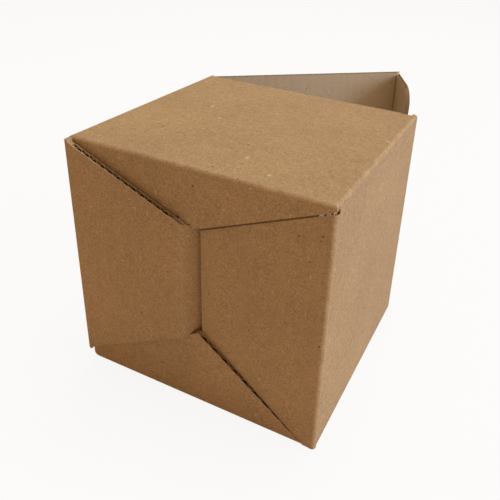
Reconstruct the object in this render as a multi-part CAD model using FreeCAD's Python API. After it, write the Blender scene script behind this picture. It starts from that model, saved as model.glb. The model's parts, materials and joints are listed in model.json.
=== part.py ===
"""Tuck-top corrugated box with a snap-lock bottom, lying on one side, lid part open.

Frame: X runs across the box, Y from the snap-lock bottom (front) to the lid (back),
Z up.  The origin is the middle of the footprint on the floor.
All lengths are in millimetres and all angles in degrees.
"""
import FreeCAD, Part
import math
import os

from FreeCAD import Vector

# Driving dimensions of the erected box
WIDTH = 150.0
HEIGHT = 148.0
DEPTH = 143.5
BOARD = 3.0

# Corrugated board: outer liners, wavy sheet between them, and the hollows at a cut edge
LINER = 0.4
MEDIUM = 0.35
FLUTE_PITCH = 4.8
FLUTE_DEPTH = 5.0
FLUTE_TIP_RADIUS = 0.4

# Clearances between sheets
LAYER_GAP = 0.25
TONGUE_LIFT = 0.7
SLOT_GAP = 0.4
CORNER_GAP = 0.3
LID_GAP = 0.2
HINGE_GAP = 0.05

# Rounding of a folded corner, outer side
FOLD_RADIUS = 2.0

# Snap-lock bottom, measured across from the left face and down from the top face
TONGUE_ROOT_TOP = 0.8
SHOULDER_ACROSS = 69.9
SHOULDER_TOP = 29.9
NECK_ACROSS = 77.2
TONGUE_TOP = 34.2
TONGUE_LOW = 98.0
TONGUE_TIP = 106.0
TONGUE_TIP_RADIUS = 9.0
SLOT_EDGE = 78.4
SLOT_TOP = 28.8
SLOT_LOW = 102.0
EAR_TIP = 60.0
EAR_TIP_HEIGHT = 8.0
EAR_FLARE_ACROSS = 12.0
EAR_FLARE_HEIGHT = 16.0
OVERLAP = 4.0
OVERLAP_END = 8.0
UPPER_APEX_ACROSS = 80.9
UPPER_APEX_DOWN = 31.9
UPPER_DEPTH = 46.0
FLAP_HEEL = 61.5
FLAP_HEEL_RADIUS = 3.0
LOWER_APEX_ACROSS = 77.6
LOWER_APEX_DOWN = 98.6
LOWER_DEPTH = 90.0
LOWER_CORNER_RADIUS = 2.5

# Snap-lock bottom, measured up from the under face and in from the right face
TONGUE_ROOT_LOW = 9.8
LOWER_FLAP_INSET = 7.1

# Hidden left corner of the upper and lower flaps
FLAP_CUT_ACROSS = 24.0
FLAP_CUT_ROOT = 9.0
FLAP_CUT_HEIGHT = 12.0

# Step of the tongue from the outermost to the innermost layer
TONGUE_SLOPE = 60.0
TONGUE_BEND_RADIUS = 3.6

# Glue tab inside the hidden corner
TAB_WIDTH = 24.0
TAB_BEVEL = 8.0

# Dust flaps under the lid
DUST_DEPTH = 45.0
DUST_TAPER = 6.0
DUST_RELIEF = 7.0
DUST_CORNER_RADIUS = 8.0

# Lid and tuck flap
LID_SIDE_INSET = 1.8
LID_OPEN = 41.0
TUCK_DEPTH = 35.0
TUCK_SIDE_INSET = 3.6
TUCK_TAPER = 3.0
TUCK_CORNER_RADIUS = 14.0
TUCK_FOLD = 100.0
TUCK_FOLD_MAX = 104.0

# Derived positions
LEFT = -WIDTH / 2.0
RIGHT = WIDTH / 2.0
FRONT = -DEPTH / 2.0
BACK = DEPTH / 2.0
PITCH = BOARD + LAYER_GAP
LAYER = [FRONT] + [FRONT + TONGUE_LIFT + PITCH * k for k in range(1, 4)]
RING_START = LAYER[2] + BOARD
LID_INNER = BACK - BOARD
PANEL_END = LID_INNER - LID_GAP
LID_LENGTH = WIDTH - BOARD - LID_GAP
LOWER_FLAP_END = RIGHT - LOWER_FLAP_INSET


def across(length):
    """X position at a length in from the left face."""
    return LEFT + length


def down(length):
    """Z position at a length down from the top face."""
    return HEIGHT - length


def box(x0, x1, y0, y1, z0, z1):
    """Axis-aligned block between six planes."""
    return Part.makeBox(x1 - x0, y1 - y0, z1 - z0, Vector(x0, y0, z0))


def plate(points, y0, thickness, radii=None):
    """Flat sheet from an outline in X and Z, its outer face at y0, with rounded corners."""
    wire = outline([(x, z) for x, z in points], radii or {})
    face = Part.Face(wire)
    face.Placement = FreeCAD.Placement(Vector(0, y0, 0), FreeCAD.Rotation(Vector(1, 0, 0), 90))
    return face.extrude(Vector(0, thickness, 0))


def outline(points, radii):
    """Closed wire through points in the XY plane; radii maps a corner index to a radius."""
    count = len(points)
    edges = []
    start = None
    first = None
    for index in range(count):
        here = Vector(points[index][0], points[index][1], 0)
        back = Vector(points[index - 1][0], points[index - 1][1], 0)
        ahead = Vector(points[(index + 1) % count][0], points[(index + 1) % count][1], 0)
        radius = radii.get(index, 0.0)
        if radius > 0.0:
            to_back = (back - here).normalize()
            to_ahead = (ahead - here).normalize()
            half = to_back.getAngle(to_ahead) / 2.0
            cut = radius / math.tan(half)
            arc_in = here + to_back * cut
            arc_out = here + to_ahead * cut
            middle = (to_back + to_ahead).normalize()
            centre = here + middle * (radius / math.sin(half))
            arc_mid = centre - middle * radius
            arc = Part.Arc(arc_in, arc_mid, arc_out).toShape()
        else:
            arc_in = here
            arc_out = here
            arc = None
        if start is not None:
            edges.append(Part.makeLine(start, arc_in))
        else:
            first = arc_in
        if arc is not None:
            edges.append(arc)
        start = arc_out
    edges.append(Part.makeLine(start, first))
    return Part.Wire(edges)


def envelope(y0, y1):
    """Outer form of the box with its rounded folds, filled, between two Y positions."""
    corners = [(LEFT, 0.0), (RIGHT, 0.0), (RIGHT, HEIGHT), (LEFT, HEIGHT)]
    radii = {index: FOLD_RADIUS for index in range(4)}
    return plate(corners, y0, y1 - y0, radii)


def tube(y0, y1):
    """Four side panels as a square tube with rounded folds, between two Y positions."""
    inner = box(LEFT + BOARD, RIGHT - BOARD, y0 - 1.0, y1 + 1.0, BOARD, HEIGHT - BOARD)
    return envelope(y0, y1).cut(inner)


def flute_hollow(centre, base):
    """Section of one flute: place along the board and depth below the face it opens to."""
    half = FLUTE_PITCH / 2.0 - MEDIUM
    tip = BOARD - LINER - MEDIUM
    if base > 0:
        return [(centre - half, LINER), (centre + half, LINER), (centre, tip)]
    return [(centre - half, BOARD - LINER), (centre + half, BOARD - LINER), (centre, BOARD - tip)]


def flute_row(first, last):
    """Sections of the flutes between two places along the board, turned up and down by turns."""
    step = FLUTE_PITCH / 2.0
    count = max(0, int((last - first) / step))
    start = (first + last - (count - 1) * step) / 2.0
    return [(start + k * step, flute_hollow(start + k * step, 1 if k % 2 else -1))
            for k in range(count)]


def upright_flute(section, y_face, z0, z1):
    """Hollow of one flute that runs along Z, below a face at y_face."""
    points = [(place, y_face + depth) for place, depth in section]
    face = Part.Face(outline(points, {2: FLUTE_TIP_RADIUS}))
    face.translate(Vector(0, 0, z0))
    return face.extrude(Vector(0, 0, z1 - z0))


def level_flute(section, y_face, x0, x1):
    """Hollow of one flute that runs along X, below a face at y_face."""
    points = [(y_face + depth, place) for place, depth in section]
    face = Part.Face(outline(points, {2: FLUTE_TIP_RADIUS}))
    turn = FreeCAD.Rotation(Vector(0, 1, 0), Vector(0, 0, 1), Vector(1, 0, 0), "XYZ")
    face.Placement = FreeCAD.Placement(Vector(x0, 0, 0), turn)
    return face.extrude(Vector(x1 - x0, 0, 0))


def upright_fold(x_outer, y_outer, x_side, y_side, z0, z1):
    """Folded corner along Z: a board-wide square with its outer corner rounded."""
    points = [
        (x_outer, y_outer),
        (x_outer + x_side * BOARD, y_outer),
        (x_outer + x_side * BOARD, y_outer + y_side * BOARD),
        (x_outer, y_outer + y_side * BOARD),
    ]
    face = Part.Face(outline(points, {0: FOLD_RADIUS}))
    face.translate(Vector(0, 0, z0))
    return face.extrude(Vector(0, 0, z1 - z0))


def level_fold(z_outer, y_outer, z_side, y_side, x0, x1):
    """Folded corner along X: a board-wide square with its outer corner rounded."""
    points = [
        (y_outer, z_outer),
        (y_outer + y_side * BOARD, z_outer),
        (y_outer + y_side * BOARD, z_outer + z_side * BOARD),
        (y_outer, z_outer + z_side * BOARD),
    ]
    face = Part.Face(outline(points, {0: FOLD_RADIUS}))
    turn = FreeCAD.Rotation(Vector(0, 1, 0), Vector(0, 0, 1), Vector(1, 0, 0), "XYZ")
    face.Placement = FreeCAD.Placement(Vector(x0, 0, 0), turn)
    return face.extrude(Vector(x1 - x0, 0, 0))


def step_end():
    """X position where the tongue reaches the innermost layer."""
    return across(SLOT_EDGE) - SLOT_GAP / 2.0


def step_start():
    """X position where the tongue leaves the outermost layer."""
    slope = math.radians(TONGUE_SLOPE)
    drop = LAYER[3] - LAYER[0]
    arc_drop = 2.0 * TONGUE_BEND_RADIUS * (1.0 - math.cos(slope))
    straight = (drop - arc_drop) / math.sin(slope)
    run = 2.0 * TONGUE_BEND_RADIUS * math.sin(slope) + straight * math.cos(slope)
    return step_end() - run


def tongue_upper_edge(x):
    """Z of the tongue flap's upper edge, left of the shoulder."""
    share = (x - LEFT) / (across(SHOULDER_ACROSS) - LEFT)
    return HEIGHT - TONGUE_ROOT_TOP - share * (HEIGHT - TONGUE_ROOT_TOP - down(SHOULDER_TOP))


def tongue_lower_edge(x):
    """Z of the tongue flap's lower edge, left of the neck."""
    share = (x - LEFT) / (across(NECK_ACROSS) - LEFT)
    return TONGUE_ROOT_LOW + share * (down(TONGUE_LOW) - TONGUE_ROOT_LOW)


def tongue_profile():
    """Section of the tongue flap in X and Y: flat, stepped inwards, flat again."""
    slope = math.radians(TONGUE_SLOPE)
    drop = LAYER[3] - LAYER[0]
    x_end = step_end()
    x_start = step_start()
    y_mid = LAYER[0] + BOARD / 2.0
    first_centre = Vector(x_start, y_mid + TONGUE_BEND_RADIUS, 0)
    second_centre = Vector(x_end, y_mid + drop - TONGUE_BEND_RADIUS, 0)

    def rail(offset):
        """Edges of one face of the sheet, offset from its middle towards the outside."""
        near = TONGUE_BEND_RADIUS + offset
        far = TONGUE_BEND_RADIUS - offset

        def first(angle):
            return first_centre + Vector(math.sin(angle), -math.cos(angle), 0) * near

        def second(angle):
            return second_centre + Vector(-math.sin(angle), math.cos(angle), 0) * far

        begin = Vector(LEFT + BOARD, y_mid - offset, 0)
        end = Vector(across(TONGUE_TIP), y_mid + drop - offset, 0)
        return [
            Part.makeLine(begin, first(0.0)),
            Part.Arc(first(0.0), first(slope / 2.0), first(slope)).toShape(),
            Part.makeLine(first(slope), second(slope)),
            Part.Arc(second(slope), second(slope / 2.0), second(0.0)).toShape(),
            Part.makeLine(second(0.0), end),
        ]

    outside = rail(BOARD / 2.0)
    inside = rail(-BOARD / 2.0)
    closing = [
        Part.makeLine(outside[0].Vertexes[0].Point, inside[0].Vertexes[0].Point),
        Part.makeLine(outside[-1].Vertexes[-1].Point, inside[-1].Vertexes[-1].Point),
    ]
    wire = Part.Wire(Part.__sortEdges__(outside + inside + closing))
    return Part.Face(wire)


def tongue_flap():
    """Left bottom flap: outermost layer, its tongue stepped through the slot."""
    sheet = tongue_profile().extrude(Vector(0, 0, HEIGHT))
    points = [
        (LEFT + BOARD - 1.0, tongue_lower_edge(LEFT + BOARD - 1.0)),
        (across(NECK_ACROSS), down(TONGUE_LOW)),
        (across(TONGUE_TIP), down(TONGUE_LOW)),
        (across(TONGUE_TIP), down(TONGUE_TOP)),
        (across(NECK_ACROSS), down(TONGUE_TOP)),
        (across(SHOULDER_ACROSS), down(SHOULDER_TOP)),
        (LEFT + BOARD - 1.0, tongue_upper_edge(LEFT + BOARD - 1.0)),
    ]
    radii = {2: TONGUE_TIP_RADIUS, 3: TONGUE_TIP_RADIUS}
    cutter = plate(points, LAYER[0] - 1.0, 4.0 * PITCH + 2.0, radii)
    flap = sheet.common(cutter)
    fold = upright_fold(LEFT, LAYER[0], 1, 1, TONGUE_ROOT_LOW, HEIGHT - TONGUE_ROOT_TOP)
    return flap.fuse(fold.common(envelope(LAYER[0] - 1.0, LAYER[1])))


def tongue_flap_flutes():
    """Flutes that open at the tongue flap's two slanted edges, up to where it steps inwards."""
    hollows = []
    for x, section in flute_row(LEFT + BOARD + 2.0, step_start() - 1.0):
        upper = tongue_upper_edge(x)
        lower = tongue_lower_edge(x)
        hollows.append(upright_flute(section, LAYER[0], upper - FLUTE_DEPTH, upper + FLUTE_PITCH))
        hollows.append(upright_flute(section, LAYER[0], lower - FLUTE_PITCH, lower + FLUTE_DEPTH))
    return hollows


def slotted_face(x):
    """Y of the slotted flap's outer face: level with the side flaps at its fold, behind them at
    the slot."""
    share = (RIGHT - x) / (RIGHT - across(SLOT_EDGE))
    return LAYER[1] + share * (LAYER[2] - LAYER[1])


def slotted_panel():
    """The part of the slotted flap that shows between the two slanted edges."""
    slot = across(SLOT_EDGE)
    root = RIGHT - BOARD
    z_top = upper_flap_line(root) - SLOT_GAP
    points = [
        (root, z_top),
        (across(UPPER_APEX_ACROSS), down(UPPER_APEX_DOWN) - SLOT_GAP),
        (slot, down(UPPER_APEX_DOWN) - SLOT_GAP),
        (slot, lower_flap_line(slot - SLOT_GAP)),
        (lower_flap_edge(CORNER_GAP) + SLOT_GAP, CORNER_GAP),
        (root, CORNER_GAP),
    ]
    window = plate(points, LAYER[0], LAYER[3] - LAYER[0])
    section = [
        (root, slotted_face(root)),
        (slot, slotted_face(slot)),
        (slot, slotted_face(slot) + BOARD),
        (root, slotted_face(root) + BOARD),
    ]
    slab = Part.Face(outline(section, {})).extrude(Vector(0, 0, HEIGHT))
    fold = upright_fold(RIGHT, LAYER[1], -1, 1, CORNER_GAP, z_top)
    joint = box(root - 0.5, root, slotted_face(root), LAYER[1] + BOARD, CORNER_GAP, z_top)
    return slab.common(window).fuse(fold).fuse(joint)


def slotted_flap():
    """Right bottom flap, with the slot that holds the tongue, under both side flaps."""
    ear_top = down(SLOT_TOP)
    ear_low = down(SLOT_LOW)
    end = RIGHT - BOARD - OVERLAP_END
    points = [
        (end, upper_flap_line(end) + OVERLAP / 2.0),
        (across(EAR_TIP) + EAR_FLARE_ACROSS, ear_top + EAR_FLARE_HEIGHT),
        (across(EAR_TIP), ear_top + EAR_TIP_HEIGHT),
        (across(EAR_TIP), ear_top),
        (across(SLOT_EDGE), ear_top),
        (across(SLOT_EDGE), ear_low),
        (across(EAR_TIP), ear_low),
        (across(EAR_TIP), ear_low - EAR_TIP_HEIGHT),
        (across(EAR_TIP) + EAR_FLARE_ACROSS, ear_low - EAR_FLARE_HEIGHT),
        (end - BOARD, lower_flap_line(end) - OVERLAP / 2.0),
        (end, lower_flap_line(end) - OVERLAP / 2.0),
    ]
    sheet = plate(points, LAYER[2], BOARD)
    near = across(UPPER_APEX_ACROSS) + 2.0 * OVERLAP
    clear = [
        (near, upper_flap_line(near) - OVERLAP),
        (RIGHT, upper_flap_line(RIGHT) - OVERLAP),
        (RIGHT, lower_flap_line(RIGHT) + OVERLAP),
        (near, lower_flap_line(near) + OVERLAP),
    ]
    sheet = sheet.cut(plate(clear, LAYER[1], LAYER[3] - LAYER[1] + BOARD))
    return sheet.fuse(slotted_panel())


def upper_flap_line(x):
    """Z of the upper flap's slanted right edge at a place across the box."""
    low = down(UPPER_APEX_DOWN)
    run = upper_flap_edge(HEIGHT - BOARD) - across(UPPER_APEX_ACROSS)
    return low + (x - across(UPPER_APEX_ACROSS)) / run * (HEIGHT - BOARD - low)


def lower_flap_line(x):
    """Z of the lower flap's slanted right edge at a place across the box."""
    share = (LOWER_FLAP_END - x) / (LOWER_FLAP_END - across(LOWER_APEX_ACROSS))
    return share * down(LOWER_APEX_DOWN)


def upper_flap_edge(z):
    """X of the upper flap's slanted right edge."""
    top = HEIGHT - BOARD
    low = down(UPPER_APEX_DOWN)
    share = (z - low) / (top - low)
    return across(UPPER_APEX_ACROSS) + share * (RIGHT - SLOT_GAP - across(UPPER_APEX_ACROSS))


def upper_flap():
    """Top bottom flap: second layer, its right edge cut on the slant."""
    heel = step_start() - 1.2
    points = [
        (LEFT + BOARD + SLOT_GAP, HEIGHT - BOARD),
        (upper_flap_edge(HEIGHT - BOARD), HEIGHT - BOARD),
        (across(UPPER_APEX_ACROSS), down(UPPER_APEX_DOWN)),
        (across(NECK_ACROSS), down(UPPER_APEX_DOWN) - SLOT_GAP / 2.0),
        (across(SHOULDER_ACROSS), down(SHOULDER_TOP) + 1.5 * SLOT_GAP),
        (heel, tongue_upper_edge(heel) + 1.5 * SLOT_GAP),
        (across(FLAP_HEEL), down(UPPER_DEPTH)),
        (across(FLAP_CUT_ACROSS), down(UPPER_DEPTH)),
        (across(FLAP_CUT_ROOT), HEIGHT - FLAP_CUT_HEIGHT),
    ]
    flap = plate(points, LAYER[1], BOARD, {6: FLAP_HEEL_RADIUS, 7: FLAP_HEEL_RADIUS})
    fold = level_fold(HEIGHT, LAYER[1], -1, 1, LEFT + CORNER_GAP, RIGHT - CORNER_GAP)
    return flap.fuse(fold.common(envelope(LAYER[1] - 1.0, LAYER[2])))


def upper_flap_flutes():
    """Flutes that open at the upper flap's slanted edge."""
    low = down(UPPER_APEX_DOWN)
    slant = (upper_flap_edge(HEIGHT) - upper_flap_edge(low)) / (HEIGHT - low)
    reach = slant * FLUTE_PITCH / 2.0
    hollows = []
    for z, section in flute_row(low + BOARD / 2.0, HEIGHT - BOARD - 1.0):
        x = upper_flap_edge(z)
        hollows.append(level_flute(section, LAYER[1], x - reach - FLUTE_DEPTH / 2.0, x + reach))
    return hollows


def lower_flap_edge(z):
    """X of the lower flap's slanted right edge."""
    share = z / down(LOWER_APEX_DOWN)
    return LOWER_FLAP_END - share * (LOWER_FLAP_END - across(LOWER_APEX_ACROSS))


def lower_flap():
    """Under bottom flap: second layer, its right edge cut on the slant."""
    left_end = LEFT + 1.0
    heel = step_start() - 1.2
    root = LEFT + BOARD + SLOT_GAP + 2.0
    points = [
        (lower_flap_edge(BOARD), BOARD),
        (across(LOWER_APEX_ACROSS), down(LOWER_APEX_DOWN)),
        (heel, tongue_lower_edge(heel) - 1.5 * SLOT_GAP),
        (across(FLAP_HEEL), down(LOWER_DEPTH)),
        (across(FLAP_CUT_ACROSS), down(LOWER_DEPTH)),
        (left_end, TONGUE_ROOT_LOW - SLOT_GAP),
        (left_end, BOARD / 2.0),
        (root, BOARD / 2.0),
        (root, BOARD),
    ]
    radii = {3: FLAP_HEEL_RADIUS, 4: FLAP_HEEL_RADIUS, 6: LOWER_CORNER_RADIUS}
    flap = plate(points, LAYER[1], BOARD, radii)
    fold = level_fold(0.0, LAYER[1], 1, 1, LEFT + BOARD + SLOT_GAP, LOWER_FLAP_END)
    trim = plate(
        [
            (lower_flap_edge(BOARD), BOARD),
            (lower_flap_edge(-1.0), -1.0),
            (RIGHT, -1.0),
            (RIGHT, BOARD),
        ],
        LAYER[1] - 1.0,
        BOARD + 2.0,
    )
    return flap.fuse(fold.cut(trim))


def lower_flap_flutes():
    """Flutes that open at the lower flap's slanted edge."""
    top = down(LOWER_APEX_DOWN)
    slant = (lower_flap_edge(0.0) - lower_flap_edge(top)) / top
    reach = slant * FLUTE_PITCH / 2.0
    hollows = []
    for z, section in flute_row(BOARD + 1.0, top - BOARD / 2.0):
        x = lower_flap_edge(z)
        hollows.append(level_flute(section, LAYER[1], x - reach - FLUTE_DEPTH / 2.0, x + reach))
    return hollows


def side_panels():
    """The four side panels with the stepped front ends that carry the bottom flaps."""
    ring = tube(RING_START, PANEL_END)
    forward = tube(LAYER[0] + BOARD, RING_START)
    far = 2.0
    seam = HEIGHT - TONGUE_ROOT_TOP
    left = forward.common(box(LEFT - far, LEFT + BOARD, LAYER[0] - far, RING_START,
                              TONGUE_ROOT_LOW, seam))
    left_low = forward.common(box(LEFT - far, LEFT + BOARD, LAYER[1] + BOARD + SLOT_GAP,
                                  RING_START, -far, TONGUE_ROOT_LOW))
    top = forward.common(box(LEFT - far, RIGHT + far, LAYER[1] + BOARD, RING_START,
                             HEIGHT - BOARD, HEIGHT + far))
    under = forward.common(box(LEFT + BOARD, LOWER_FLAP_END, LAYER[1] + BOARD,
                               RING_START, -far, BOARD))
    under_end = forward.common(box(LOWER_FLAP_END, RIGHT + far, LAYER[1] + BOARD + 2.0 * SLOT_GAP,
                                   RING_START, -far, BOARD))
    right = forward.common(box(RIGHT - BOARD, RIGHT + far, LAYER[1] + BOARD, RING_START,
                               CORNER_GAP, HEIGHT + far))
    left_behind = box(LEFT, LEFT + BOARD, PANEL_END - 0.5, BACK, FOLD_RADIUS, HEIGHT - FOLD_RADIUS)
    pieces = [left, left_low, top, under, under_end, right, left_behind]
    return ring.multiFuse(pieces)


def glue_tab():
    """Tab of the left panel glued flat inside the under panel."""
    x0 = LEFT + BOARD
    x1 = x0 + TAB_WIDTH
    y0 = LAYER[3] + 2.0 * PITCH
    y1 = PANEL_END - 2.0 * PITCH
    face = Part.Face(outline([(x0, y0), (x1, y0 + TAB_BEVEL), (x1, y1 - TAB_BEVEL), (x0, y1)], {}))
    face.translate(Vector(0, 0, BOARD))
    return face.extrude(Vector(0, 0, BOARD))


def dust_flap(z_outer, z_side):
    """One dust flap folded across the open end, under the lid."""
    x0 = LEFT + BOARD + 2.0 * SLOT_GAP
    x1 = RIGHT - BOARD - DUST_RELIEF
    z_root = z_outer + z_side * BOARD
    z_tip = z_outer + z_side * (BOARD + DUST_DEPTH)
    points = [
        (x0, z_root),
        (x1, z_root),
        (x1 - DUST_TAPER, z_tip),
        (x0 + DUST_TAPER, z_tip),
    ]
    if z_side < 0:
        points.reverse()
        radii = {0: DUST_CORNER_RADIUS, 1: DUST_CORNER_RADIUS}
    else:
        radii = {2: DUST_CORNER_RADIUS, 3: DUST_CORNER_RADIUS}
    flap = plate(points, PANEL_END - BOARD, BOARD, radii)
    fold = level_fold(z_outer, PANEL_END, z_side, -1, x0, x1)
    return flap.fuse(fold)


def carton():
    """The folded sheet that stays still: panels, bottom flaps, dust flaps and glue tab."""
    panels = side_panels()
    end_cut = box(LEFT + BOARD, RIGHT - BOARD, PANEL_END - BOARD, BACK + 1.0, -1.0, HEIGHT + 1.0)
    panels = panels.cut(end_cut)
    mitre = hinge_wedge()
    panels = panels.cut(mitre)
    pieces = [
        tongue_flap().cut(tongue_flap_flutes()),
        slotted_flap(),
        upper_flap().cut(upper_flap_flutes()),
        lower_flap().cut(lower_flap_flutes()),
        glue_tab(),
        dust_flap(HEIGHT, -1),
        dust_flap(0.0, 1),
    ]
    return panels.multiFuse(pieces).removeSplitter()


def hinge_wedge():
    """Wedge that bevels the left panel's back end, so that the closed lid meets it."""
    gap = HINGE_GAP
    points = [
        (LEFT - 1.0, BACK - gap),
        (LEFT, BACK - gap),
        (LEFT + BOARD + 1.0, BACK - gap - BOARD - 1.0 - LID_GAP),
        (LEFT + BOARD + 1.0, BACK + 1.0),
        (LEFT - 1.0, BACK + 1.0),
    ]
    face = Part.Face(outline(points, {}))
    face.translate(Vector(0, 0, -1.0))
    return face.extrude(Vector(0, 0, HEIGHT + 2.0))


def bevelled_board(length, z0, z1, near_angle, far_angle):
    """Board along +X from the hinge at the origin, outer face at Y = 0, inner at -BOARD.

    The near end is bevelled at near_angle and the far end at far_angle, both measured
    from the outer face.
    """
    near = BOARD / math.tan(math.radians(near_angle))
    far = BOARD / math.tan(math.radians(far_angle))
    points = [
        (HINGE_GAP, 0.0),
        (length - HINGE_GAP, 0.0),
        (length - HINGE_GAP - far, -BOARD),
        (HINGE_GAP + near, -BOARD),
    ]
    face = Part.Face(outline(points, {}))
    face.translate(Vector(0, 0, z0))
    return face.extrude(Vector(0, 0, z1 - z0))


def tuck_bevel():
    """Bevel at the tuck fold, from the tightest fold of the tuck flap."""
    return (180.0 - TUCK_FOLD_MAX) / 2.0


def lid_closed():
    """Lid in its closed place, hinge line at the left panel's outer back edge."""
    low = LID_SIDE_INSET
    top = HEIGHT - LID_SIDE_INSET
    board = bevelled_board(LID_LENGTH, low, top, 44.0, tuck_bevel() - 0.5)
    hollows = []
    for x, section in flute_row(BOARD + 2.0, LID_LENGTH - BOARD - 2.0):
        hollows.append(upright_flute(section, -BOARD, low - 1.0, low + FLUTE_DEPTH))
        hollows.append(upright_flute(section, -BOARD, top - FLUTE_DEPTH, top + 1.0))
    board = board.cut(hollows)
    board.translate(Vector(LEFT, BACK, 0))
    return board


def tuck_side(x):
    """Width lost at one side of the tuck flap, at a distance x from its fold."""
    inset = TUCK_SIDE_INSET + TUCK_TAPER * x / TUCK_DEPTH
    past = x - (TUCK_DEPTH - TUCK_CORNER_RADIUS)
    if past <= 0.0:
        return inset
    return inset + TUCK_CORNER_RADIUS - math.sqrt(TUCK_CORNER_RADIUS ** 2 - past ** 2)


def tuck_flat():
    """Tuck flap lying flat in line with the closed lid."""
    board = bevelled_board(TUCK_DEPTH, 0.0, HEIGHT, tuck_bevel() - 0.5, 89.9)
    points = [
        (0.0, TUCK_SIDE_INSET),
        (TUCK_DEPTH, TUCK_SIDE_INSET + TUCK_TAPER),
        (TUCK_DEPTH, HEIGHT - TUCK_SIDE_INSET - TUCK_TAPER),
        (0.0, HEIGHT - TUCK_SIDE_INSET),
    ]
    cutter = plate(points, -BOARD - 1.0, BOARD + 2.0, {1: TUCK_CORNER_RADIUS, 2: TUCK_CORNER_RADIUS})
    hollows = []
    for x, section in flute_row(2.0, TUCK_DEPTH - TUCK_CORNER_RADIUS / 2.0):
        inset = tuck_side(x)
        hollows.append(upright_flute(section, -BOARD, 0.0, inset + FLUTE_DEPTH))
        hollows.append(upright_flute(section, -BOARD, HEIGHT - inset - FLUTE_DEPTH, HEIGHT))
    flap = board.common(cutter).cut(hollows)
    flap.translate(Vector(LEFT + LID_LENGTH, BACK, 0))
    return flap


def turned(shape, x, y, angle):
    """Copy of a shape turned about an upright line through x and y."""
    copy = shape.copy()
    copy.rotate(Vector(x, y, 0), Vector(0, 0, 1), angle)
    return copy


def main():
    """Build every node and write one file per node."""
    os.makedirs("parts", exist_ok=True)
    lid = turned(lid_closed(), LEFT, BACK, LID_OPEN)
    tuck = turned(tuck_flat(), LEFT + LID_LENGTH, BACK, -TUCK_FOLD)
    tuck = turned(tuck, LEFT, BACK, LID_OPEN)
    nodes = {"carton": carton(), "lid": lid, "tuck_flap": tuck}
    for name, shape in nodes.items():
        solids = shape.Solids
        solid = solids[0] if len(solids) == 1 else shape
        print(name, "solids", len(solids), "valid", shape.isValid(),
              "volume", round(shape.Volume, 1), "faces", len(shape.Faces))
        solid.exportStep("parts/" + name + ".step")


main()
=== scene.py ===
"""Looks of a tuck-top corrugated box that lies on its side with its lid part open.

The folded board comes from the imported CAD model.  This script dresses it as brown kraft
board, adds the frayed paper at its worn corners, lights it softly and sets the camera at
the photograph's angle.  Lengths are in metres unless a name ends in _MM or _mm.
"""

import json
import logging
import math
import random
from dataclasses import dataclass
from enum import Enum
from typing import Any

import bpy
from mathutils import Matrix, Vector

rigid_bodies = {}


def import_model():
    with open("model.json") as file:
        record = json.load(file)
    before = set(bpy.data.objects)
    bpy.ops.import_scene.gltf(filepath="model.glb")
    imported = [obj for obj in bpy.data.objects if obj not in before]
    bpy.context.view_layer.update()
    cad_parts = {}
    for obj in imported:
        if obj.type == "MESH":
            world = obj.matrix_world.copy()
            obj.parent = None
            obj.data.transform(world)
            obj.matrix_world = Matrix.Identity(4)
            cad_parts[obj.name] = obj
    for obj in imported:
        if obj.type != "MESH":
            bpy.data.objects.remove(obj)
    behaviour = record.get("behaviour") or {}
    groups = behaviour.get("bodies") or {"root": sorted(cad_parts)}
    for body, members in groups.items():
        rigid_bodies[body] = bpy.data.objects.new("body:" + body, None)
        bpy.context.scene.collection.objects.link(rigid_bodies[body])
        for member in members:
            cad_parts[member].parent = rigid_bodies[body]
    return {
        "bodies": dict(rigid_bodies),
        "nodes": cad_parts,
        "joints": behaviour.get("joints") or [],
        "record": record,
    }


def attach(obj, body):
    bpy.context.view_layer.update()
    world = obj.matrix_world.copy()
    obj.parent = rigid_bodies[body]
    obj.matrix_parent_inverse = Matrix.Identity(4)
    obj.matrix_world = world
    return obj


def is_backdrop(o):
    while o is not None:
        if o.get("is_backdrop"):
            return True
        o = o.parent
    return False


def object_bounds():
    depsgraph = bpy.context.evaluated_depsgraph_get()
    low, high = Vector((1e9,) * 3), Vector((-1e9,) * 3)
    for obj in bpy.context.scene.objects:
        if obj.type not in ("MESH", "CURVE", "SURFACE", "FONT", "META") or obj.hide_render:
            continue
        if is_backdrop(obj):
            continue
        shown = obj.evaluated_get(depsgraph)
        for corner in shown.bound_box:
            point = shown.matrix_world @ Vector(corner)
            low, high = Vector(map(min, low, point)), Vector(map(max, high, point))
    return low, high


LOG = logging.getLogger("box")
MM = 0.001
WHITE = (1.0, 1.0, 1.0, 1.0)

Triple = tuple[float, float, float]
Span = tuple[float, float]
Node = bpy.types.Node
Socket = bpy.types.NodeSocket
Tree = bpy.types.NodeTree

# Places of a Mix node's sockets, for colours and for plain numbers
COLOUR_A = 6
COLOUR_B = 7
COLOUR_OUT = 2
NUMBER_A = 2
NUMBER_B = 3

# Sizes that the looks follow, as in the CAD model
HALF_WIDTH_MM = 75.0
HALF_HEIGHT_MM = 74.0
TONGUE_FACE_MM = -71.75
SIDE_FLAP_FACE_MM = -67.80
BOARD_MM = 3.0
FLUTE_PITCH_MM = 4.8

# Where the painted shade in the flute hollows of the bottom flaps goes, each as a middle and a
# reach: how squarely their walls face the front, how deep their sheets lie, and the bent tongue,
# which has none
HOLLOW_FACING = (0.63, 0.35)
HOLLOW_DEPTH_MM = (-68.3, 3.2)
TONGUE_BEND_MM = (-0.9, 4.5)

# Lower right edge of the upper flap (width, height), and how far the painted shade under it drops
# for each millimetre that the panel lies behind it
UPPER_FLAP_EDGE_MM = ((5.9, 116.1), (74.6, 145.0))
UNDERCUT = 0.45


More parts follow.
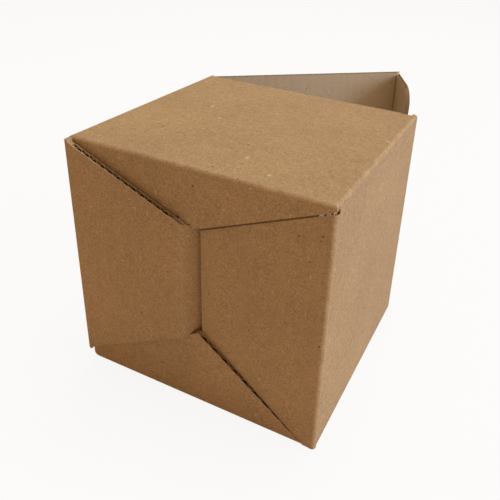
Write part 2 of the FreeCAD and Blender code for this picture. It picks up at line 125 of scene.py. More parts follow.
def hex_to_linear(code: str) -> tuple[float, float, float, float]:
    """Turn an sRGB hex colour into linear values.

    Args:
        code: Colour as "#RRGGBB".

    Returns:
        Linear red, green, blue and an alpha of 1.
    """
    parts = [int(code[i:i + 2], 16) / 255.0 for i in (1, 3, 5)]
    linear = [c / 12.92 if c <= 0.04045 else ((c + 0.055) / 1.055) ** 2.4 for c in parts]
    return (linear[0], linear[1], linear[2], 1.0)


def add_node(tree: Tree, kind: str, settings: dict[str, Any] | None = None,
             inputs: dict[Any, Any] | None = None) -> Node:
    """Add a shader node with its settings, and link or set its inputs.

    Args:
        tree: Node tree that receives the node.
        kind: Blender's node type.
        settings: Node attributes by name.
        inputs: Socket name or index, with a value or an output socket to link.

    Returns:
        The new node.
    """
    node = tree.nodes.new(kind)
    for name, value in (settings or {}).items():
        setattr(node, name, value)
    for name, value in (inputs or {}).items():
        if isinstance(value, bpy.types.NodeSocket):
            tree.links.new(value, node.inputs[name])
        else:
            node.inputs[name].default_value = value
    return node


class Build(Enum):
    """How a piece of board is made up, which decides where its inner side and edges are."""

    FOLDED_TUBE = "panels folded round the middle of the box"
    FLAT_FLAP = "one flat flap"


@dataclass(frozen=True)
class Tint:
    """A colour, and how much of it covers what lies under it."""

    colour: str
    cover: float


@dataclass(frozen=True)
class Mottle:
    """One scale of unevenness in a sheet of paper."""

    size_mm: float
    detail: float
    roughness: float


@dataclass(frozen=True)
class FleckSet:
    """One kind of fleck in recycled and unbleached pulp."""

    gap_mm: float
    size_mm: float
    tint: Tint
    share: float
    stretch: Triple = (1.0, 1.0, 1.0)


@dataclass(frozen=True)
class SurfacePoint:
    """The point that a material colours: its place in millimetres and its normal."""

    place: Socket
    facing: Socket
    spot: Node
    normal: Node

    @classmethod
    def read(cls, tree: Tree) -> "SurfacePoint":
        """Add the nodes that read the point in the piece's own space.

        Args:
            tree: Node tree.

        Returns:
            The point, with its place and normal also split into X, Y and Z.
        """
        coords = add_node(tree, "ShaderNodeTexCoord")
        place = add_node(tree, "ShaderNodeVectorMath", {"operation": "SCALE"}, {
            0: coords.outputs["Object"], "Scale": 1.0 / MM}).outputs[0]
        facing = coords.outputs["Normal"]
        return cls(place, facing, add_node(tree, "ShaderNodeSeparateXYZ", None, {0: place}),
                   add_node(tree, "ShaderNodeSeparateXYZ", None, {0: facing}))


@dataclass(frozen=True)
class KraftBoard:
    """Single-wall corrugated board: unbleached kraft liners glued to a fluted medium.

    The outer liner is a dull tan softwood sheet with cloudy flocks, fine grain, dark bark
    specks and pale fibres.  The inner liner is recycled and greyer.  Cut edges show the two
    liners as pale lines with the darker medium between them and painted shade in the flute
    hollows, folds are paler, partly scuffed and partly a painted highlight, painted shade lies
    under the upper flap's slanted edge, and the flutes print through as a faint washboard.
    """

    name: str
    make: Build = Build.FOLDED_TUBE
    inward: Triple = (0.0, -1.0, 0.0)

    # Outer liner: colours, matt finish and unevenness
    paper: Tint = Tint("#B2906A", 0.35)
    shade: str = "#8F6E4B"
    pale: str = "#CFB18B"
    roughness: float = 0.88
    gloss: float = 0.2
    grain: Mottle = Mottle(0.9, 4.0, 0.7)
    flock: Mottle = Mottle(5.0, 3.0, 0.6)
    cloud: Mottle = Mottle(48.0, 2.0, 0.5)
    grain_contrast: Span = (0.3, 0.7)
    cloud_contrast: Span = (0.7, 1.3)
    cloud_level: Span = (0.90, 1.08)

    # Flecks: sizes and colours, how they lie, and how much of each is full colour
    flecks: tuple[FleckSet, ...] = (
        FleckSet(9.0, 0.75, Tint("#4A2E17", 0.85), 0.6),
        FleckSet(3.2, 0.50, Tint("#6B4A2A", 0.6), 0.7),
        FleckSet(4.6, 0.50, Tint("#E2C79E", 0.65), 0.65, (0.34, 0.34, 1.0)),
        FleckSet(4.6, 0.50, Tint("#DEC193", 0.6), 0.65, (1.0, 1.0, 0.3)),
    )
    fleck_shift_mm: float = 1.37
    fleck_turn: Triple = (0.3, 0.5, 0.2)
    fleck_core: float = 0.35

    # Inner liner, and how far a flat flap's surface has to face inward to be part of it
    inner_liner: Tint = Tint("#D6C9AC", 0.6)
    inner_facing: float = 0.5

    # Cut edges: how far they may turn from square to the sheet, and the liners' pale lines
    medium: Tint = Tint("#7A5C3E", 0.7)
    liner_edge: Tint = Tint("#D6B890", 0.8)
    # Painted shade on the walls of the flute hollows
    flute_shade: Tint = Tint("#22160D", 0.9)
    flap_edge_facing: float = 0.4
    tube_edge_facing: float = 0.3
    liner_middle_mm: float = 0.2
    liner_line_mm: Span = (0.2, 0.45)

    # Folds: scuffed paler, and partly a painted highlight along the fold
    fold_scuff_and_highlight: Tint = Tint("#CDAC80", 0.5)
    fold_mm: Span = (0.4, 2.6)
    fold_scuff_and_highlight_contrast: Span = (0.35, 0.65)

    # Painted shade under the upper flap's slanted edge: its colour, how far it fades out above
    # and below, and how far it goes on to the left of the edge and behind the sheet
    painted_gap_shade: Tint = Tint("#4E3722", 0.8)
    gap_above_mm: float = 0.35
    gap_below_mm: Span = (0.85, 0.5)
    gap_left_mm: float = 3.0
    gap_behind_mm: float = 1.0

    # Relief: depth and strength of the grain and the washboard, and what faces the front
    grain_depth_mm: float = 0.08
    grain_strength: float = 0.6
    washboard_mm: float = 0.06
    washboard_strength: float = 0.5
    front_facing: float = 0.7

    def build(self) -> bpy.types.Material:
        """Make the node material.

        Returns:
            The material, ready for a material slot.
        """
        material = bpy.data.materials.new(self.name)
        material.use_nodes = True
        tree = material.node_tree
        tree.nodes.clear()
        point = SurfacePoint.read(tree)
        grain, flock, cloud = (
            add_node(tree, "ShaderNodeTexNoise", {"normalize": True}, {
                "Vector": point.place, "Scale": 1.0 / mottle.size_mm, "Detail": mottle.detail,
                "Roughness": mottle.roughness}).outputs["Fac"]
            for mottle in (self.grain, self.flock, self.cloud))

        tone = self._paper_tone(tree, grain, flock, cloud)
        tone = self._towards(tree, tone, self.inner_liner, self._inside(tree, point))
        for flecks in self.flecks:
            tone = self._flecks(tree, point, tone, flecks)
        if self.make is Build.FOLDED_TUBE:
            # Paler folds: partly scuffed paper, partly a painted highlight
            tone = self._towards(tree, tone, self.fold_scuff_and_highlight, self._fold_scuff_and_highlight_mask(tree, point, flock))
            # Painted shade on the slotted panel, under the upper flap's slanted edge
            tone = self._towards(tree, tone, self.painted_gap_shade, self._painted_gap_shade_mask(tree, point))
        tone = self._edge_tone(tree, point, tone)
        if self.make is Build.FOLDED_TUBE:
            # Painted shade on the walls of the flute hollows at the cut edges
            tone = self._towards(tree, tone, self.flute_shade, self._hollow(tree, point))

        shader = add_node(tree, "ShaderNodeBsdfPrincipled", None, {
            "Base Color": tone, "Roughness": self.roughness,
            "Normal": self._relief(tree, point, grain), "Specular IOR Level": self.gloss})
        add_node(tree, "ShaderNodeOutputMaterial", None, {"Surface": shader.outputs["BSDF"]})
        return material

    def _towards(self, tree: Tree, tone: Socket, tint: Tint, mask: Socket) -> Socket:
        """Mix a tone towards a tint.

        Args:
            tree: Node tree.
            tone: Colour socket to start from.
            tint: Colour to reach, and its cover where the mask is 1.
            mask: Factor socket from 0 to 1.

        Returns:
            Colour socket.
        """
        cover = add_node(tree, "ShaderNodeMath", {"operation": "MULTIPLY", "use_clamp": True},
                         {0: mask, 1: tint.cover})
        return add_node(tree, "ShaderNodeMix", {"data_type": "RGBA"}, {
            "Factor": cover.outputs[0], COLOUR_A: tone,
            COLOUR_B: hex_to_linear(tint.colour)}).outputs[COLOUR_OUT]

    def _overlap(self, tree: Tree, *masks: Socket) -> Socket:
        """Find where several masks hold at once.

        Args:
            tree: Node tree.
            masks: Factor sockets.

        Returns:
            Factor socket, the product of the masks.
        """
        common = masks[0]
        for mask in masks[1:]:
            common = add_node(tree, "ShaderNodeMath", {"operation": "MULTIPLY"}, {
                0: common, 1: mask}).outputs[0]
        return common

    def _from_middle(self, tree: Tree, point: SurfacePoint) -> tuple[Socket, Socket]:
        """Measure how far the point is from the middle of the tube.

        Args:
            tree: Node tree.
            point: Point that is coloured.

        Returns:
            Distance sockets, sideways and upright, in millimetres.
        """
        lift = add_node(tree, "ShaderNodeMath", {"operation": "SUBTRACT"}, {
            0: point.spot.outputs["Z"], 1: HALF_HEIGHT_MM})
        aside = add_node(tree, "ShaderNodeMath", {"operation": "ABSOLUTE"}, {
            0: point.spot.outputs["X"]})
        height = add_node(tree, "ShaderNodeMath", {"operation": "ABSOLUTE"}, {
            0: lift.outputs[0]})
        return aside.outputs[0], height.outputs[0]

    def _paper_tone(self, tree: Tree, grain: Socket, flock: Socket, cloud: Socket) -> Socket:
        """Mix the outer liner's colour from its three noises.

        Args:
            tree: Node tree.
            grain: Fine grain factor.
            flock: Fibre flock factor.
            cloud: Broad cloud factor.

        Returns:
            Colour socket.
        """
        ramp = add_node(tree, "ShaderNodeMapRange", None, {
            "Value": grain, "From Min": self.grain_contrast[0],
            "From Max": self.grain_contrast[1]})
        speckle = add_node(tree, "ShaderNodeMix", {"data_type": "RGBA"}, {
            "Factor": ramp.outputs["Result"], COLOUR_A: hex_to_linear(self.shade),
            COLOUR_B: hex_to_linear(self.pale)})
        soften = add_node(tree, "ShaderNodeMix", {"data_type": "RGBA"}, {
            "Factor": self.paper.cover, COLOUR_A: speckle.outputs[COLOUR_OUT],
            COLOUR_B: hex_to_linear(self.paper.colour)})
        spread = add_node(tree, "ShaderNodeMath", {"operation": "ADD"}, {0: flock, 1: cloud})
        level = add_node(tree, "ShaderNodeMapRange", None, {
            "Value": spread.outputs[0], "From Min": self.cloud_contrast[0],
            "From Max": self.cloud_contrast[1], "To Min": self.cloud_level[0],
            "To Max": self.cloud_level[1]})
        return add_node(tree, "ShaderNodeVectorMath", {"operation": "SCALE"}, {
            0: soften.outputs[COLOUR_OUT], "Scale": level.outputs["Result"]}).outputs[0]

    def _flecks(self, tree: Tree, point: SurfacePoint, tone: Socket,
                flecks: FleckSet) -> Socket:
        """Scatter one kind of fleck over a colour.

        Args:
            tree: Node tree.
            point: Point that is coloured.
            tone: Colour under the flecks.
            flecks: Spacing, size, tint, share and stretch of the flecks.

        Returns:
            Colour socket.
        """
        shift = sum(ord(letter) for letter in flecks.tint.colour) * self.fleck_shift_mm
        drawn = add_node(tree, "ShaderNodeMapping", None, {
            "Vector": point.place, "Location": (shift, -shift, 0.5 * shift),
            "Rotation": self.fleck_turn, "Scale": flecks.stretch})
        cell = add_node(tree, "ShaderNodeTexVoronoi", {"feature": "F1"}, {
            "Vector": drawn.outputs[0], "Scale": 1.0 / flecks.gap_mm, "Randomness": 1.0})
        spot = add_node(tree, "ShaderNodeMapRange", None, {
            "Value": cell.outputs["Distance"],
            "From Min": self.fleck_core * flecks.size_mm / flecks.gap_mm,
            "From Max": flecks.size_mm / flecks.gap_mm, "To Min": 1.0, "To Max": 0.0})
        luck = add_node(tree, "ShaderNodeSeparateColor", None, {0: cell.outputs["Color"]})
        kept = add_node(tree, "ShaderNodeMath", {"operation": "LESS_THAN"}, {
            0: luck.outputs[0], 1: flecks.share})
        mask = self._overlap(tree, spot.outputs["Result"], kept.outputs[0])
        return self._towards(tree, tone, flecks.tint, mask)

    def _inside(self, tree: Tree, point: SurfacePoint) -> Socket:
        """Mask of the inner liner.

        Args:
            tree: Node tree.
            point: Point that is coloured.

        Returns:
            Factor socket, 1 on the inner liner.
        """
        if self.make is Build.FOLDED_TUBE:
            inward = add_node(tree, "ShaderNodeVectorMath", {"operation": "SUBTRACT"}, {
                0: (0.0, 0.0, HALF_HEIGHT_MM), 1: point.place}).outputs[0]
            least = 0.0
        else:
            inward = self.inward
            least = self.inner_facing
        along = add_node(tree, "ShaderNodeVectorMath", {"operation": "DOT_PRODUCT"}, {
            0: point.facing, 1: inward})
        return add_node(tree, "ShaderNodeMath", {"operation": "GREATER_THAN"}, {
            0: along.outputs["Value"], 1: least}).outputs[0]

    def _edge(self, tree: Tree, point: SurfacePoint) -> Socket:
        """Mask of the cut edges of the board.

        Args:
            tree: Node tree.
            point: Point that is coloured.

        Returns:
            Factor socket, 1 on a cut edge.
        """
        if self.make is Build.FLAT_FLAP:
            across = add_node(tree, "ShaderNodeVectorMath", {"operation": "DOT_PRODUCT"}, {
                0: point.facing, 1: self.inward})
            turn = add_node(tree, "ShaderNodeMath", {"operation": "ABSOLUTE"}, {
                0: across.outputs["Value"]})
            return add_node(tree, "ShaderNodeMath", {"operation": "LESS_THAN"}, {
                0: turn.outputs[0], 1: self.flap_edge_facing}).outputs[0]
        turn = add_node(tree, "ShaderNodeMath", {"operation": "ABSOLUTE"}, {
            0: point.normal.outputs["Y"]})
        aside, height = self._from_middle(tree, point)
        limits = (
            (turn.outputs[0], self.tube_edge_facing),
            (point.spot.outputs["Y"], SIDE_FLAP_FACE_MM + BOARD_MM),
            (aside, HALF_WIDTH_MM - BOARD_MM),
            (height, HALF_HEIGHT_MM - BOARD_MM))
        return self._overlap(tree, *(
            add_node(tree, "ShaderNodeMath", {"operation": "LESS_THAN"}, {
                0: value, 1: limit}).outputs[0]
            for value, limit in limits))

    def _edge_tone(self, tree: Tree, point: SurfacePoint, tone: Socket) -> Socket:
        """Colour the cut edges: fluted medium between the cut ends of two liners.

        Args:
            tree: Node tree.
            point: Point that is coloured.
            tone: Colour away from the edges.

        Returns:
            Colour socket.
        """
        edge = self._edge(tree, point)
        tone = self._towards(tree, tone, self.medium, edge)
        if self.make is Build.FLAT_FLAP:
            return tone
        nearest = None
        for face in (TONGUE_FACE_MM, SIDE_FLAP_FACE_MM):
            for depth in (self.liner_middle_mm, BOARD_MM - self.liner_middle_mm):
                offset = add_node(tree, "ShaderNodeMath", {"operation": "SUBTRACT"}, {
                    0: point.spot.outputs["Y"], 1: face + depth})
                distance = add_node(tree, "ShaderNodeMath", {"operation": "ABSOLUTE"}, {
                    0: offset.outputs[0]})
                if nearest is None:
                    nearest = distance
                else:
                    nearest = add_node(tree, "ShaderNodeMath", {"operation": "MINIMUM"}, {
                        0: nearest.outputs[0], 1: distance.outputs[0]})
        liner = add_node(tree, "ShaderNodeMapRange", None, {
            "Value": nearest.outputs[0], "From Min": self.liner_line_mm[0],
            "From Max": self.liner_line_mm[1], "To Min": 1.0, "To Max": 0.0})
        mask = self._overlap(tree, liner.outputs["Result"], edge)
        return self._towards(tree, tone, self.liner_edge, mask)

    def _hollow(self, tree: Tree, point: SurfacePoint) -> Socket:
        """Mask of the painted shade on the walls of the flute hollows at the cut edges of the
        bottom flaps.

        Their walls slope within the thickness of a sheet, beside the bent tongue.

        Args:
            tree: Node tree.
            point: Point that is coloured.

        Returns:
            Factor socket, 1 on a wall of a hollow.
        """
        turn = add_node(tree, "ShaderNodeMath", {"operation": "ABSOLUTE"}, {
            0: point.normal.outputs["Y"]})
        bands = (
            (turn.outputs[0], HOLLOW_FACING),
            (point.spot.outputs["Y"], HOLLOW_DEPTH_MM),
            (point.spot.outputs["X"], (0.0, HALF_WIDTH_MM - BOARD_MM)),
            (point.spot.outputs["Z"], (HALF_HEIGHT_MM, HALF_HEIGHT_MM - BOARD_MM)),
            (point.spot.outputs["X"], TONGUE_BEND_MM))
        slope, sheet, width, height, tongue = (
            add_node(tree, "ShaderNodeMath", {"operation": "COMPARE"}, {
                0: value, 1: middle, 2: reach}).outputs[0]
            for value, (middle, reach) in bands)
        beside = add_node(tree, "ShaderNodeMath", {"operation": "SUBTRACT"}, {
            0: 1.0, 1: tongue})
        return self._overlap(tree, slope, sheet, width, height, beside.outputs[0])

    def _fold_scuff_and_highlight_mask(self, tree: Tree, point: SurfacePoint, flock: Socket) -> Socket:
        """Mask of the pale folds of the tube, partly scuffed paper and partly a painted
        highlight.

        Args:
            tree: Node tree.
            point: Point that is coloured.
            flock: Noise that breaks the scuff and the painted highlight up.

        Returns:
            Factor socket, 1 along a fold.
        """
        aside, height = self._from_middle(tree, point)
        from_side, from_top, from_front = (
            add_node(tree, "ShaderNodeMath", {"operation": "SUBTRACT"}, {
                0: further, 1: nearer}).outputs[0]
            for further, nearer in ((HALF_WIDTH_MM, aside), (HALF_HEIGHT_MM, height),
                                    (point.spot.outputs["Y"], SIDE_FLAP_FACE_MM)))
        mask = None
        for one, other in ((from_side, from_top), (from_top, from_front),
                           (from_side, from_front)):
            pair = add_node(tree, "ShaderNodeCombineXYZ", None, {0: one, 1: other, 2: 0.0})
            reach = add_node(tree, "ShaderNodeVectorMath", {"operation": "LENGTH"}, {
                0: pair.outputs[0]})
            near = add_node(tree, "ShaderNodeMapRange", {"interpolation_type": "SMOOTHSTEP"}, {
                "Value": reach.outputs["Value"], "From Min": self.fold_mm[0],
                "From Max": self.fold_mm[1], "To Min": 1.0, "To Max": 0.0})
            if mask is None:
                mask = near.outputs["Result"]
            else:
                mask = add_node(tree, "ShaderNodeMath", {"operation": "MAXIMUM"}, {
                    0: mask, 1: near.outputs["Result"]}).outputs[0]
        # Patches along the folds: partly scuffed paper, partly a painted highlight
        worn = add_node(tree, "ShaderNodeMapRange", None, {
            "Value": flock, "From Min": self.fold_scuff_and_highlight_contrast[0],
            "From Max": self.fold_scuff_and_highlight_contrast[1]})
        return self._overlap(tree, mask, worn.outputs["Result"])

    def _painted_gap_shade_mask(self, tree: Tree, point: SurfacePoint) -> Socket:
        """Mask of the painted shade on the slotted panel, close under the upper flap's slanted
        edge.

        The panel lies further behind the edge towards the slot, so the painted shade widens
        there.

        Args:
            tree: Node tree.
            point: Point that is coloured.

        Returns:
            Factor socket, 1 in the shade.
        """
        (from_x, from_z), (to_x, to_z) = UPPER_FLAP_EDGE_MM
        run, rise = to_x - from_x, to_z - from_z
        length = math.hypot(run, rise)
        level = (from_z * run - from_x * rise) / length
        low = level + SIDE_FLAP_FACE_MM * UNDERCUT
        height = add_node(tree, "ShaderNodeVectorMath", {"operation": "DOT_PRODUCT"}, {
            0: point.place, 1: (-rise / length, 0.0, run / length)})
        shaded = add_node(tree, "ShaderNodeVectorMath", {"operation": "DOT_PRODUCT"}, {
            0: point.place, 1: (-rise / length, UNDERCUT, run / length)})
        above = add_node(tree, "ShaderNodeMapRange", None, {
            "Value": height.outputs["Value"], "From Min": level,
            "From Max": level + self.gap_above_mm, "To Min": 1.0, "To Max": 0.0})
        below = add_node(tree, "ShaderNodeMapRange", None, {
            "Value": shaded.outputs["Value"], "From Min": low - self.gap_below_mm[0],
            "From Max": low - self.gap_below_mm[1]})
        right = add_node(tree, "ShaderNodeMath", {"operation": "GREATER_THAN"}, {
            0: point.spot.outputs["X"], 1: from_x - self.gap_left_mm})
        front = add_node(tree, "ShaderNodeMath", {"operation": "LESS_THAN"}, {
            0: point.spot.outputs["Y"], 1: SIDE_FLAP_FACE_MM + BOARD_MM + self.gap_behind_mm})
        return self._overlap(tree, above.outputs["Result"], below.outputs["Result"],
                             right.outputs[0], front.outputs[0])

    def _relief(self, tree: Tree, point: SurfacePoint, grain: Socket) -> Socket:
        """Bump of the sheet: fine grain, and the faint washboard of the flutes.

        Args:
            tree: Node tree.
            point: Point that is coloured.
            grain: Fine grain factor.

        Returns:
            Normal socket.
        """
        turn = add_node(tree, "ShaderNodeMath", {"operation": "ABSOLUTE"}, {
            0: point.normal.outputs["Y"]})
        on_front = add_node(tree, "ShaderNodeMath", {"operation": "GREATER_THAN"}, {
            0: turn.outputs[0], 1: self.front_facing})
        run = add_node(tree, "ShaderNodeMix", {"data_type": "FLOAT"}, {
            "Factor": on_front.outputs[0], NUMBER_A: point.spot.outputs["Y"],
            NUMBER_B: point.spot.outputs["X"]})
        phase = add_node(tree, "ShaderNodeMath", {"operation": "MULTIPLY"}, {
            0: run.outputs[0], 1: 2.0 * math.pi / FLUTE_PITCH_MM})
        wave = add_node(tree, "ShaderNodeMath", {"operation": "SINE"}, {0: phase.outputs[0]})
        fine = add_node(tree, "ShaderNodeBump", None, {
            "Strength": self.grain_strength, "Distance": self.grain_depth_mm * MM,
            "Height": grain})
        return add_node(tree, "ShaderNodeBump", None, {
            "Strength": self.washboard_strength, "Distance": self.washboard_mm * MM,
            "Height": wave.outputs[0], "Normal": fine.outputs["Normal"]}).outputs["Normal"]


@dataclass(frozen=True)
class TornPaper:
    """Torn kraft paper: the pale, fuzzy inside of a sheet that was pulled apart."""

    name: str = "torn_kraft_paper"
    dark: str = "#A08560"
    pale: str = "#EADDC4"
    roughness: float = 0.95
    gloss: float = 0.1
    fibre: Mottle = Mottle(0.7, 3.0, 0.7)
    fibre_contrast: Span = (0.3, 0.6)

    def build(self) -> bpy.types.Material:
        """Make the node material.

        Returns:
            The material, ready for a material slot.
        """
        material = bpy.data.materials.new(self.name)
        material.use_nodes = True
        tree = material.node_tree
        tree.nodes.clear()
        place = add_node(tree, "ShaderNodeTexCoord").outputs["Object"]
        fibre = add_node(tree, "ShaderNodeTexNoise", {"normalize": True}, {
            "Vector": place, "Scale": 1.0 / (self.fibre.size_mm * MM),
            "Detail": self.fibre.detail, "Roughness": self.fibre.roughness})
        ramp = add_node(tree, "ShaderNodeMapRange", None, {
            "Value": fibre.outputs["Fac"], "From Min": self.fibre_contrast[0],
            "From Max": self.fibre_contrast[1]})
        tone = add_node(tree, "ShaderNodeMix", {"data_type": "RGBA"}, {
            "Factor": ramp.outputs["Result"], COLOUR_A: hex_to_linear(self.dark),
            COLOUR_B: hex_to_linear(self.pale)})
        shader = add_node(tree, "ShaderNodeBsdfPrincipled", None, {
            "Base Color": tone.outputs[COLOUR_OUT], "Roughness": self.roughness,
            "Specular IOR Level": self.gloss})
        add_node(tree, "ShaderNodeOutputMaterial", None, {"Surface": shader.outputs["BSDF"]})
        return material


@dataclass
class FrayedPaper:
    """Slivers of torn liner that stand out of a seam at a worn corner of the box."""

    name: str
    start_mm: Triple
    end_mm: Triple
    lean: Triple
    count: int
    length_mm: Span
    width_mm: Span
    seed: int
    thick_mm: float = 0.16
    steps: int = 5
    lean_along_seam: Span = (-1.6, 1.6)
    curl_sideways_mm: Span = (-0.3, 0.3)
    curl_forward_mm: float = 0.35
    curl_upward_mm: Span = (-0.5, 0.4)
    taper: float = 0.85
    inside_box_mm: float = 0.1

    def build(self, finish: bpy.types.Material) -> str:
        """Make the slivers as one piece and let it ride on the carton.

        Args:
            finish: Material of the torn paper.

        Returns:
            A short line for the log.
        """
        draw = random.Random(self.seed)
        corners: list[Vector] = []
        faces: list[tuple[int, ...]] = []
        for _ in range(self.count):
            self._sliver(draw, corners, faces)
        mesh = bpy.data.meshes.new(self.name)
        mesh.from_pydata([corner * MM for corner in corners], [], faces)
        mesh.materials.append(finish)
        piece = bpy.data.objects.new(self.name, mesh)
        bpy.context.scene.collection.objects.link(piece)
        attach(piece, "carton")
        return f"{self.name}: {self.count} slivers"

    def _sliver(self, draw: random.Random, corners: list[Vector],
                faces: list[tuple[int, ...]]) -> None:
        """Add one curled sliver that narrows to its tip.

        Args:
            draw: Seeded source of randomness.
            corners: Vertex list to add to.
            faces: Face list to add to.
        """
        start, end = Vector(self.start_mm), Vector(self.end_mm)
        seam = (end - start).normalized()
        root = start.lerp(end, draw.random())
        lean = Vector(self.lean) + seam * draw.uniform(*self.lean_along_seam)
        lean.normalize()
        curl = Vector((draw.uniform(*self.curl_sideways_mm), -self.curl_forward_mm,
                       draw.uniform(*self.curl_upward_mm)))
        length = draw.uniform(*self.length_mm)
        width = draw.uniform(*self.width_mm)
        first = len(corners)
        for step in range(self.steps):
            share = step / (self.steps - 1)
            middle = root + lean * length * share + curl * share * share
            half = seam * width * 0.5 * (1.0 - self.taper * share)
            depth = lean.cross(seam).normalized() * self.thick_mm * 0.5
            for corner in (middle - half - depth, middle + half - depth,
                           middle + half + depth, middle - half + depth):
                corners.append(Vector((
                    min(corner.x, HALF_WIDTH_MM - self.inside_box_mm),
                    max(corner.y, TONGUE_FACE_MM + self.inside_box_mm), corner.z)))
        for step in range(self.steps - 1):
            near, far = first + 4 * step, first + 4 * step + 4
            for side in range(4):
                after = (side + 1) % 4
                faces.append((near + side, near + after, far + after, far + side))
        tip = first + 4 * (self.steps - 1)
        faces.append((first + 3, first + 2, first + 1, first))
        faces.append((tip, tip + 1, tip + 2, tip + 3))


@dataclass
class BoardPiece:
    """One folded piece of board that the CAD model carries."""

    node: str
    finish: KraftBoard

    def dress(self, frame: dict[str, Any]) -> str:
        """Give the piece its finish.


        Returns:
            A short line for the log.
        """
        body = frame["nodes"][self.node]
        body.data.materials.clear()
        body.data.materials.append(self.finish.build())
        return f"{self.node}: {len(body.data.polygons)} faces dressed as {self.finish.name}"


@dataclass(frozen=True)
class SoftLamp:
    """Square soft lamp that the camera does not see."""

    name: str
    place: Triple
    size: float
    watts: float
    colour: str

    def hang(self, target: Vector) -> None:
        """Hang the lamp so that it faces a point.

        Args:
            target: Point that it faces.
        """
        data = bpy.data.lights.new(self.name, "AREA")
        data.shape = "SQUARE"
        data.size = self.size
        data.energy = self.watts
        data.color = hex_to_linear(self.colour)[:3]
        lamp = bpy.data.objects.new(self.name, data)
        place = Vector(self.place)
        lamp.location = place
        lamp.visible_camera = False
        lamp.rotation_euler = (target - place).to_track_quat("-Z", "Y").to_euler()
        bpy.context.scene.collection.objects.link(lamp)


@dataclass
class Studio:
    """Pale floor, soft lamps and an even surround."""

    floor_size: float = 8.0
    floor_drop: float = 0.0004
    floor_paint: str = "#F4EADC"
    floor_glow: float = 0.9
    surround: str = "#FFD1A2"
    surround_level: float = 0.39
    target: Triple = (0.0, 0.0, 0.07)
    lamps: tuple[SoftLamp, ...] = (
        SoftLamp("side_lamp", (1.5, 0.35, 0.55), size=1.0, watts=17.3, colour="#CFE4FF"),
        SoftLamp("top_lamp", (0.0, 0.4, 1.7), size=1.2, watts=15.6, colour="#F4FCF0"),
    )

    def build(self) -> str:
        """Make the floor, the world and the lamps.

        Returns:
            A short line for the log.
        """
        self._floor()
        self._world()
        for lamp in self.lamps:
            lamp.hang(Vector(self.target))
        return "studio: floor, surround and " + ", ".join(lamp.name for lamp in self.lamps)

    def _floor(self) -> None:
        """Lay a plain matt floor under the box, pale to the eye."""
        half = self.floor_size / 2.0
        mesh = bpy.data.meshes.new("floor")
        corners = [(-half, -half, 0.0), (half, -half, 0.0), (half, half, 0.0), (-half, half, 0.0)]
        mesh.from_pydata(corners, [], [(0, 1, 2, 3)])
        floor = bpy.data.objects.new("floor", mesh)
        floor.location = (0.0, 0.0, -self.floor_drop)
        bpy.context.scene.collection.objects.link(floor)
        material = bpy.data.materials.new("matt_floor_paint")
        material.use_nodes = True
        tree = material.node_tree
        tree.nodes.clear()
        paint = add_node(tree, "ShaderNodeBsdfDiffuse", None, {
            "Color": hex_to_linear(self.floor_paint)})
        glow = add_node(tree, "ShaderNodeEmission", None, {"Color": WHITE, "Strength": 1.0})
        share = add_node(tree, "ShaderNodeMath", {"operation": "MULTIPLY"}, {
            0: self._clear_view(tree), 1: self.floor_glow})
        mix = add_node(tree, "ShaderNodeMixShader", None, {
            0: share.outputs[0], 1: paint.outputs[0], 2: glow.outputs[0]})
        add_node(tree, "ShaderNodeOutputMaterial", None, {"Surface": mix.outputs[0]})
        mesh.materials.append(material)
        floor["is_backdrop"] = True

    def _world(self) -> None:
        """Even surround light, seen white by the camera."""
        world = bpy.data.worlds.new("studio_surround")
        bpy.context.scene.world = world
        world.use_nodes = True
        tree = world.node_tree
        tree.nodes.clear()
        light = add_node(tree, "ShaderNodeBackground", None, {
            "Color": hex_to_linear(self.surround), "Strength": self.surround_level})
        white = add_node(tree, "ShaderNodeBackground", None, {"Color": WHITE, "Strength": 1.0})
        mix = add_node(tree, "ShaderNodeMixShader", None, {
            0: self._clear_view(tree), 1: light.outputs[0], 2: white.outputs[0]})
        add_node(tree, "ShaderNodeOutputWorld", None, {"Surface": mix.outputs[0]})

    def _clear_view(self, tree: Tree) -> Socket:
        """Tell the rays that show a surface to the eye from those that light it.

        Args:
            tree: Node tree.

        Returns:
            Factor socket, 1 for camera, glossy and transmission rays.
        """
        path = add_node(tree, "ShaderNodeLightPath")
        seen = add_node(tree, "ShaderNodeMath", {"operation": "MAXIMUM"}, {
            0: path.outputs["Is Camera Ray"], 1: path.outputs["Is Glossy Ray"]})
        return add_node(tree, "ShaderNodeMath", {"operation": "MAXIMUM"}, {
            0: seen.outputs[0], 1: path.outputs["Is Transmission Ray"]}).outputs[0]


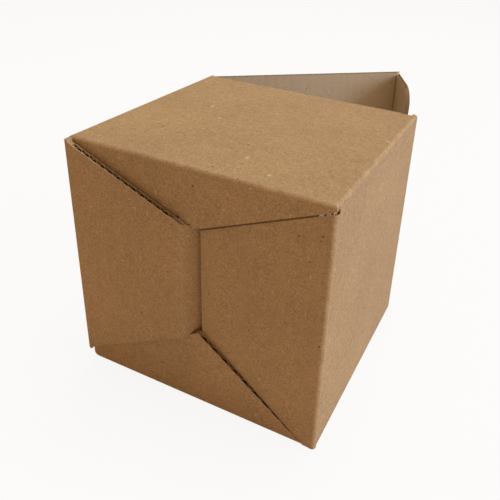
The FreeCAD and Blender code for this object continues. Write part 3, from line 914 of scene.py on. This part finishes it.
@dataclass
class PhotoCamera:
    """Camera at the photograph's viewing angle, from a fit to the box's edges."""

    place: Triple = (0.14393, -0.27447, 0.26579)
    right: Triple = (0.90315, 0.42601, 0.05326)
    forward: Triple = (-0.36469, 0.82672, -0.42840)
    lens_mm: float = 41.916
    sensor_mm: float = 36.0
    shift: Span = (-0.0840, -0.1549)
    clip_start: float = 0.01

    def build(self) -> str:
        """Make the camera.

        Returns:
            A short line for the log.
        """
        data = bpy.data.cameras.new("photo_camera")
        data.sensor_width = self.sensor_mm
        data.sensor_fit = "HORIZONTAL"
        data.lens = self.lens_mm
        data.shift_x, data.shift_y = self.shift
        data.clip_start = self.clip_start
        camera = bpy.data.objects.new("photo_camera", data)
        back = -Vector(self.forward).normalized()
        side = Vector(self.right).normalized()
        up = back.cross(side).normalized()
        side = up.cross(back)
        turn = Matrix((side, up, back)).transposed()
        camera.matrix_world = Matrix.Translation(self.place) @ turn.to_4x4()
        bpy.context.scene.collection.objects.link(camera)
        bpy.context.scene.camera = camera
        return "camera: placed"


@dataclass
class BoxScene:
    """The whole scene."""

    frame: dict[str, Any]
    cad_bounds: Any
    boards: list[BoardPiece]
    frays: list[FrayedPaper]

    def build(self) -> None:
        """Dress and make every piece in order and report each."""
        bpy.context.scene.view_settings.view_transform = "Standard"
        LOG.info(PhotoCamera().build())
        for board in self.boards:
            LOG.info(board.dress(self.frame))
        torn = TornPaper().build()
        for fray in self.frays:
            LOG.info(fray.build(torn))
        LOG.info(Studio().build())


def main() -> None:
    """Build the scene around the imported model."""
    logging.basicConfig(level=logging.INFO, format="%(name)s: %(message)s")
    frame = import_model()
    cad_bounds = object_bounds()
    boards = [
        BoardPiece("carton", KraftBoard("kraft_board_carton")),
        BoardPiece("lid", KraftBoard("kraft_board_lid", make=Build.FLAT_FLAP,
                                     inward=(0.656, -0.755, 0.0))),
        BoardPiece("tuck_flap", KraftBoard("kraft_board_tuck", make=Build.FLAT_FLAP,
                                           inward=(-0.857, -0.515, 0.0))),
    ]
    frays = [
        FrayedPaper("frayed_corner", start_mm=(67.0, -67.6, 142.2),
                    end_mm=(73.9, -67.6, 145.1), lean=(0.5, -0.6, -0.25), count=14,
                    length_mm=(0.7, 1.5), width_mm=(1.0, 2.2), seed=11),
        FrayedPaper("frayed_slot_top", start_mm=(-4.5, -67.5, 118.6),
                    end_mm=(2.0, -67.5, 116.2), lean=(0.2, -0.5, -0.3), count=5,
                    length_mm=(0.8, 1.8), width_mm=(0.4, 0.9), seed=23),
    ]
    scene = BoxScene(frame, cad_bounds, boards, frays)
    scene.build()


if __name__ == "__main__":
    main()
